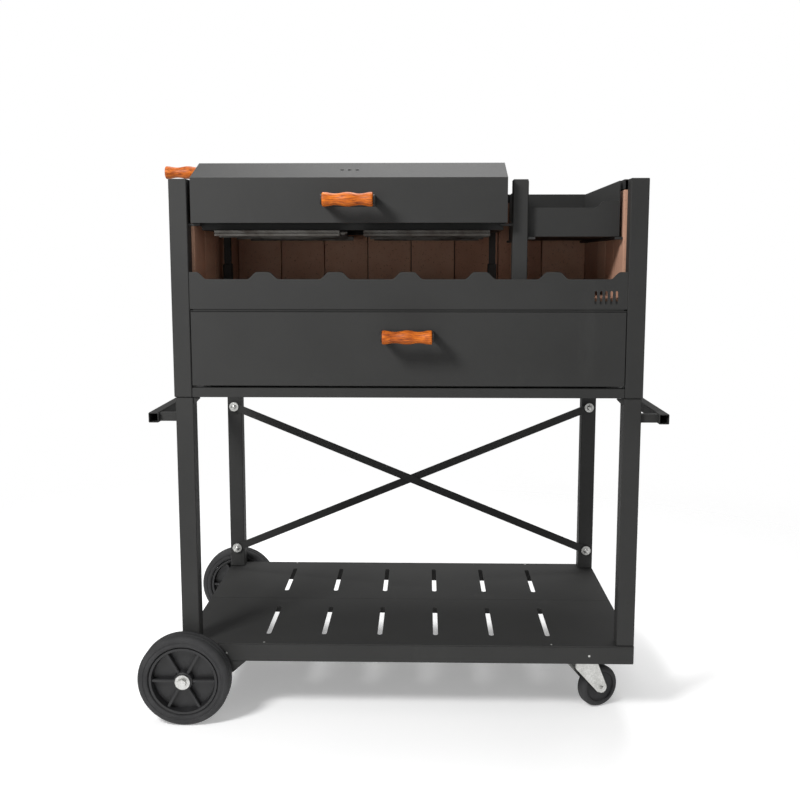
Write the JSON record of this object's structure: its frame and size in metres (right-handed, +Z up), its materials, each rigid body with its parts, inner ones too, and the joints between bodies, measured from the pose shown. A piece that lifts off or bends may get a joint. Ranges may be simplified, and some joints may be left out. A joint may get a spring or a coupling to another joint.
{
  "type": "open hearth cart grill",
  "caption": "Wood and charcoal grill on a cart: firebrick hearth, lever-lifted V-channel grates, hinged lid, warming tray, ash drawer, slotted shelf, fixed wheels and swivel casters.",
  "frame": {"origin": "on the ground, under the middle of the object's bounding box", "axes": "+Z up, -Y to the front with the drawer and the lid's handle, +X to the casters' end"},
  "size_m": [1.147, 0.7491, 1.2271],
  "materials": {
    "powder_coat": "fine textured matt powder coat",
    "firebrick": "dry matt firebrick",
    "turned_wood": "oiled, satin",
    "tyre_rubber": "matt rubber",
    "caster_rubber": "matt rubber",
    "black_plastic": "moulded, satin",
    "zinc": "zinc plated",
    "bare_steel": "brushed"
  },
  "bodies": {
    "cart": {"axle_bolt_front": "zinc", "axle_bolt_rear": "zinc", "back_wall": "powder_coat", "brace_bar_falling": "powder_coat", "brace_bar_rising": "powder_coat", "caster_plate_front": "zinc", "caster_plate_rear": "zinc", "front_panel": "powder_coat", "front_rail": "powder_coat", "guide_sleeve_left": "powder_coat", "guide_sleeve_right": "powder_coat", "hearth_floor": "powder_coat", "inner_post": "powder_coat", "leg_front_left": "powder_coat", "leg_front_right": "powder_coat", "leg_rear_left": "powder_coat", "leg_rear_right": "powder_coat", "lining_back": "firebrick", "lining_floor": "firebrick", "lining_left": "firebrick", "lining_right": "firebrick", "post_front_left": "powder_coat", "post_front_right": "powder_coat", "post_rear_left": "powder_coat", "post_rear_right": "powder_coat", "shaft_bearing_left": "powder_coat", "shaft_bearing_right": "powder_coat", "shelf_frame": "powder_coat", "shelf_panel_front": "powder_coat", "shelf_panel_rear": "powder_coat", "side_rail_left": "powder_coat", "side_rail_right": "powder_coat", "side_wall_left": "powder_coat", "side_wall_right": "powder_coat", "tray_ledge_right": "powder_coat", "wheel_bracket_front": "powder_coat", "wheel_bracket_rear": "powder_coat"},
    "drawer": {"drawer_box": "powder_coat", "drawer_front": "powder_coat", "drawer_bracket": "powder_coat", "drawer_grip": "turned_wood"},
    "lid": {"lid_shell": "powder_coat", "lid_bracket": "powder_coat", "lid_grip": "turned_wood"},
    "lever": {"lever_shaft": "bare_steel", "lever_arm": "powder_coat", "lever_grip": "turned_wood"},
    "carriage": {"grate_carriage": "powder_coat", "grate_left": "bare_steel", "grate_right": "bare_steel"},
    "tray": {"warming_tray": "powder_coat"},
    "front_wheel": {"tyre_front": "tyre_rubber", "rim_front": "black_plastic"},
    "rear_wheel": {"tyre_rear": "tyre_rubber", "rim_rear": "black_plastic"},
    "front_caster": {"caster_fork_front": "zinc"},
    "rear_caster": {"caster_fork_rear": "zinc"},
    "front_caster_wheel": {"caster_wheel_front": "caster_rubber"},
    "rear_caster_wheel": {"caster_wheel_rear": "caster_rubber"}
  },
  "joints": [
    {"name": "drawer_slide", "type": "slide", "parent": "cart", "child": "drawer", "axis": [0, -1, 0], "range_m": [0, 0.35]},
    {"name": "lid_hinge", "type": "hinge", "parent": "cart", "child": "lid", "pos_m": [0.016, 0.29475, 1.19], "axis": [-1, 0, 0], "range_deg": [0, 100]},
    {"name": "lever_hinge", "type": "hinge", "parent": "cart", "child": "lever", "pos_m": [0.016, 0.29475, 1.19], "axis": [-1, 0, 0], "range_deg": [0, 17.5]},
    {"name": "carriage_lift", "type": "slide", "parent": "cart", "child": "carriage", "axis": [0, 0, 1], "range_m": [0, 0.0941]},
    {"name": "tray_lift_off", "type": "slide", "parent": "cart", "child": "tray", "axis": [0, 0, 1], "range_m": [0, 0.2]},
    {"name": "front_wheel_spin", "type": "hinge", "parent": "cart", "child": "front_wheel", "pos_m": [-0.472, -0.33325, 0.1015], "axis": [0, 1, 0], "continuous": true},
    {"name": "rear_wheel_spin", "type": "hinge", "parent": "cart", "child": "rear_wheel", "pos_m": [-0.472, 0.34075, 0.1015], "axis": [0, 1, 0], "continuous": true},
    {"name": "front_caster_swivel", "type": "hinge", "parent": "cart", "child": "front_caster", "pos_m": [0.409, -0.24025, 0.11], "axis": [0, 0, 1], "continuous": true},
    {"name": "front_caster_spin", "type": "hinge", "parent": "front_caster", "child": "front_caster_wheel", "pos_m": [0.44978, -0.22123, 0.048], "axis": [-0.4226, 0.9063, 0], "continuous": true},
    {"name": "rear_caster_swivel", "type": "hinge", "parent": "cart", "child": "rear_caster", "pos_m": [0.409, 0.24775, 0.11], "axis": [0, 0, 1], "continuous": true},
    {"name": "rear_caster_spin", "type": "hinge", "parent": "rear_caster", "child": "rear_caster_wheel", "pos_m": [0.44978, 0.26677, 0.048], "axis": [-0.4226, 0.9063, 0], "continuous": true}
  ],
  "couplings": [
    {"joint": "lever_hinge", "follows": "carriage_lift", "rad_per_m": 3.2442}
  ]
}
